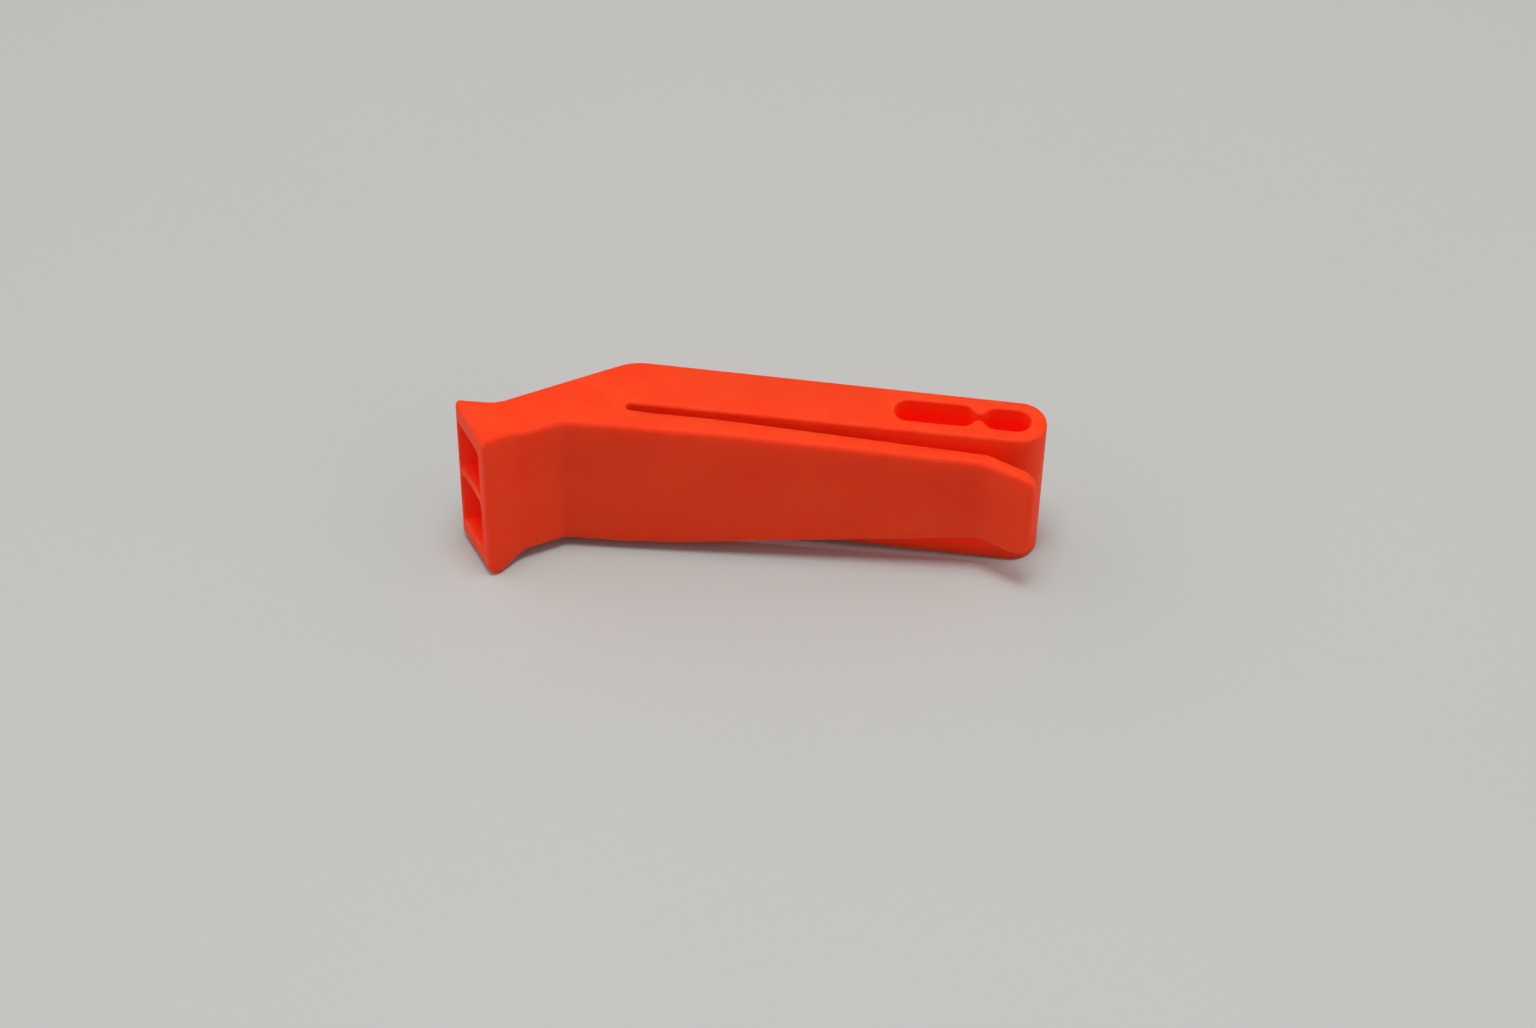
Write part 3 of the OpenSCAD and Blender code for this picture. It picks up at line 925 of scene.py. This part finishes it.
def settle(piece, material, sharp=38, faceWeight=100):
    # From mm in bar coordinates to metres in the frame, with smooth shading between sharp edges
    mesh = piece.data
    spread = mesh.attributes.new("spread", "FLOAT", "POINT")
    spread.data.foreach_set("value", [clearOfSeam(v.co.x, v.co.y) for v in mesh.vertices])
    # the ducts' walls get their painted bounce light and glow too
    for v, paintedShare in zip(mesh.vertices, mesh.attributes["inner"].data):
        paintedShare.value = max(paintedShare.value, paintedDuctLight(v.co))
    mesh.transform(Matrix.Scale(mm, 4) @ Matrix.Translation(kink))
    mesh.polygons.foreach_set("use_smooth", [True] * len(mesh.polygons))
    mesh.set_sharp_from_angle(angle=radians(sharp))
    mesh.materials.clear()
    mesh.materials.append(material)
    even = piece.modifiers.new("evenNormals", "WEIGHTED_NORMAL")
    even.keep_sharp = True
    even.weight = faceWeight


# The front moulding: mouthpiece, neck and sprung clip in one skin, as the real one is moulded
frontPiece = mouldedPrism("mouthpiece_and_clip", [frontOutline()], frontTop, frontBottom, [edgeSize],
                          [paintedGapLight])
ductCutters = [ductCutter(1), ductCutter(-1)]
dish = dividerDish()
cutAway(frontPiece, [dish] + ductCutters)
settle(frontPiece, bodyPlastic)
print("front moulding:", len(frontPiece.data.vertices), "points")

# The rear moulding: the bar with its chambers, sound windows, cover seat and lanyard slots
rearPiece = mouldedPrism("bar_and_tail", [rearOutline(), slotOutline()], rearTop, rearBottom,
                         [edgeSize, slotEdge], [paintedGapLight, paintedSlotLight])
rearCutters = [seatCutter()]
for side in (1, -1):
    rearCutters += [windowCutter(side), chamberCutter(side)]
cutAway(rearPiece, rearCutters + ductCutters)
settle(rearPiece, bodyPlastic)
for cutter in rearCutters + ductCutters + [dish]:
    bpy.data.objects.remove(cutter)
print("rear moulding:", len(rearPiece.data.vertices), "points")

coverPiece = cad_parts["back_cover"]
coverPiece.data.materials.clear()
coverPiece.data.materials.append(coverPlastic)
softEdge = coverPiece.modifiers.new("softEdge", "BEVEL")
softEdge.width, softEdge.segments = cover["bevel"] * mm, cover["bevelSteps"]
softEdge.limit_method = "ANGLE"

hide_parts("body")
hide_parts("belt_clip")
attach(rearPiece, "whistle")
bendStart = (Vector((gap["x"] - gap["radius"], clip["rootMiddle"], 0)) + kink) * mm
bendEnd = (Vector((gap["x"] + clip["bendLength"], clip["rootMiddle"], 0)) + kink) * mm
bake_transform(frontPiece, "whistle", "clip", start=tuple(bendStart), end=tuple(bendEnd))
print("pieces ride on their bodies")

# Floor, tilted to touch the lip and the tail as the standing whistle does

floor = {
    "size": 3.0,                # in metres
    "squares": 8,
    "colour": (0.474, 0.480, 0.468, 1),
    "darkerShare": 0.97,        # of that colour in its faint mottling
    "mottling": 14.0,
    "roughness": 0.6,
    "specular": 0.2,
    "lipX": -8.4,               # where the whistle stands on it, along the bar
    "tailX": 57.0,
}


def makeFloor():
    tilt = atan2(lip["side"] - body["tailDrop"], floor["tailX"] - floor["lipX"])
    bm = bmesh.new()
    bmesh.ops.create_grid(bm, x_segments=floor["squares"], y_segments=floor["squares"],
                          size=floor["size"] / 2)
    bm.transform(Matrix.Rotation(-tilt, 4, "Y"))
    drop = kink.z - body["halfWidth"] - lip["side"]
    lipPoint = Vector((floor["lipX"] + kink.x, 0, drop)) * mm
    bm.transform(Matrix.Translation(lipPoint))
    ground = meshObject("floor", bm)
    material = bpy.data.materials.new("palePaper")
    material.use_nodes = True
    tree = material.node_tree
    shader = tree.nodes["Principled BSDF"]
    darker = tuple(c * floor["darkerShare"] for c in floor["colour"][:3]) + (1,)
    noise = addNode(tree, "ShaderNodeTexNoise", {"Scale": floor["mottling"], "Detail": 2.0})
    tint = addNode(tree, "ShaderNodeMix", {"A": floor["colour"], "B": darker}, data_type="RGBA")
    place = addNode(tree, "ShaderNodeTexCoord")
    connect(tree,
            (place, "Object", noise, "Vector"), (noise, "Fac", tint, "Factor"),
            (tint, "Result", shader, "Base Color"))
    shader.inputs["Roughness"].default_value = floor["roughness"]
    shader.inputs["Specular IOR Level"].default_value = floor["specular"]
    ground.data.materials.append(material)


makeFloor()

# Soft light: a warm pale dome, brighter towards both ends, with one small, cooler lamp above

surround = {
    "colour": (1.13, 0.87, 0.87, 1),
    "strength": 0.32,
    "horizon": 0.5,             # share of the light overhead that is left at the horizon
    "sides": 5.5,               # how much brighter the dome is along x
    "bias": 0.4,                # and how much of that lies on the mouthpiece's side
    "depth": 0.65,              # share of the light that is missing along y
}
lamp = {"at": (0.0, -0.08, 0.8), "size": 0.28, "watts": 4.05, "tint": (0.89, 1.11, 1.09)}


def makeSurround():
    # Strength is climb(z) * (x * (sides * x - bias) + 1 - depth * y * y)
    world = bpy.data.worlds.new("surround")
    world.use_nodes = True
    tree = world.node_tree
    dome = tree.nodes["Background"]
    dome.inputs["Color"].default_value = surround["colour"]
    place = addNode(tree, "ShaderNodeTexCoord")
    way = addNode(tree, "ShaderNodeSeparateXYZ")
    climb = addNode(tree, "ShaderNodeMapRange",
                    {"To Min": surround["strength"] * surround["horizon"],
                     "To Max": surround["strength"]})
    across = addNode(tree, "ShaderNodeMath", {1: surround["sides"], 2: -surround["bias"]},
                     operation="MULTIPLY_ADD")
    lift = addNode(tree, "ShaderNodeMath", operation="MULTIPLY_ADD")
    along = addNode(tree, "ShaderNodeMath", operation="MULTIPLY")
    dim = addNode(tree, "ShaderNodeMath", {1: -surround["depth"], 2: 1.0}, operation="MULTIPLY_ADD")
    total = addNode(tree, "ShaderNodeMath", operation="MULTIPLY")
    connect(tree,
            (place, "Generated", way, 0), (way, "Z", climb, "Value"),
            (way, "Y", along, 0), (way, "Y", along, 1), (along, 0, dim, 0),
            (way, "X", across, 0), (way, "X", lift, 0), (across, 0, lift, 1), (dim, 0, lift, 2),
            (lift, 0, total, 0), (climb, "Result", total, 1), (total, 0, dome, "Strength"))
    bpy.context.scene.world = world


def makeLamp():
    light = bpy.data.lights.new("overhead", "AREA")
    light.size, light.energy, light.color = lamp["size"], lamp["watts"], lamp["tint"]
    holder = bpy.data.objects.new("overhead", light)
    holder.location = lamp["at"]
    holder.rotation_euler = (-Vector(lamp["at"])).to_track_quat("-Z", "Y").to_euler()
    bpy.context.scene.collection.objects.link(holder)


makeSurround()
makeLamp()

# Camera fitted to the photograph, in mm and bar coordinates

view = {
    "yaw": radians(-6.74),
    "pitch": radians(45.92),
    "roll": radians(-1.13),
    "lens": 84.68,
    "sensor": 36,               # width of the frame behind it
    "across": -25.37,
    "up": 4.07,
    "distance": 449.4,
    "near": 0.01,               # in metres
    "far": 20.0,
}


def makeCamera():
    c, s = cos(view["yaw"]), sin(view["yaw"])
    cp, sp = cos(view["pitch"]), sin(view["pitch"])
    cr, sr = cos(view["roll"]), sin(view["roll"])
    flatRight, flatUp = Vector((c, -s, 0)), Vector((s * sp, c * sp, cp))
    right, up = flatRight * cr - flatUp * sr, flatRight * sr + flatUp * cr
    forward = Vector((s * cp, c * cp, -sp))
    at = -(right * view["across"] + up * view["up"] + forward * view["distance"])
    eye = bpy.data.cameras.new("camera")
    eye.lens, eye.sensor_width = view["lens"], view["sensor"]
    eye.clip_start, eye.clip_end = view["near"], view["far"]
    holder = bpy.data.objects.new("camera", eye)
    turn = Matrix((right, up, -forward)).transposed().to_4x4()
    holder.matrix_world = Matrix.Translation((at + kink) * mm) @ turn
    bpy.context.scene.collection.objects.link(holder)
    bpy.context.scene.camera = holder


makeCamera()
bpy.context.scene.view_settings.view_transform = "Standard"
print("floor, lights and camera placed")
